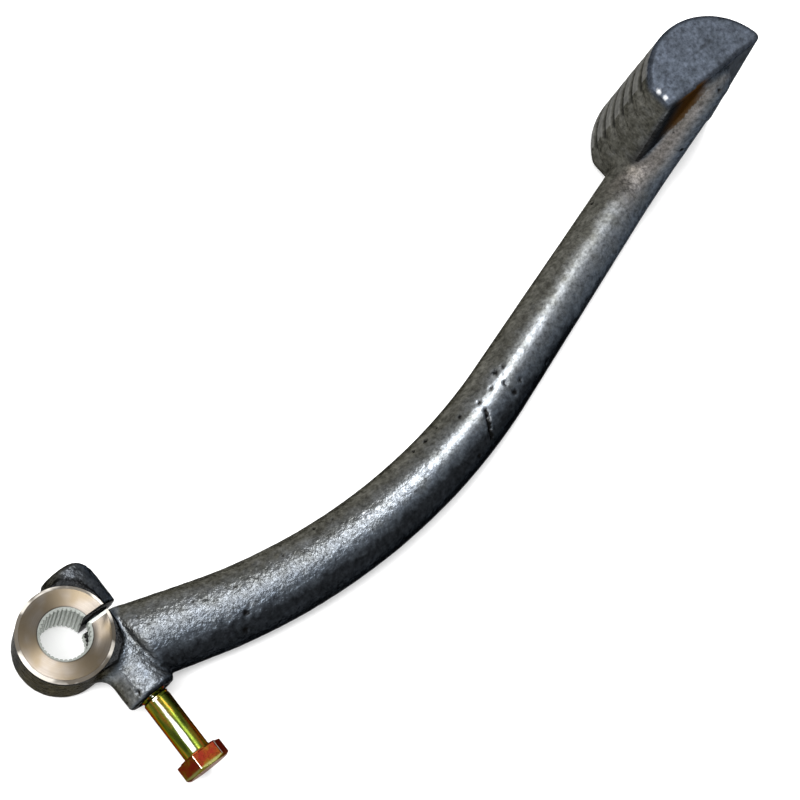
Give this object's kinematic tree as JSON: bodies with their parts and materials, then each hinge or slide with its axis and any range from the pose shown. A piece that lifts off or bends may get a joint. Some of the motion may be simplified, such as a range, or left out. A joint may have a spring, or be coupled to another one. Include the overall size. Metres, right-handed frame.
{
  "type": "kick start lever",
  "caption": "Cast kick start lever: a bowed oval arm from a split, splined clamp hub with a pinch bolt to a half-round grooved foot pedal.",
  "frame": {"origin": "on the axis of the splined bore, at the inboard face of the hub", "axes": "+Z along the bore towards the outboard side, +X along the clamp slit towards the pedal, pinch bolt along Y with its head at -Y"},
  "size_m": [0.281, 0.0909, 0.057],
  "materials": {
    "cast_aluminium": "as cast, tumbled, hub face turned bright",
    "zinc_plated_steel": "yellow zinc plated"
  },
  "bodies": {
    "lever": {"lever": "cast_aluminium"},
    "bolt": {"clamp_bolt": "zinc_plated_steel"}
  },
  "joints": [
    {"name": "bolt_slide", "type": "slide", "parent": "lever", "child": "bolt", "axis": [0, 1, 0], "range_m": [-0.015, 0.0198]}
  ]
}
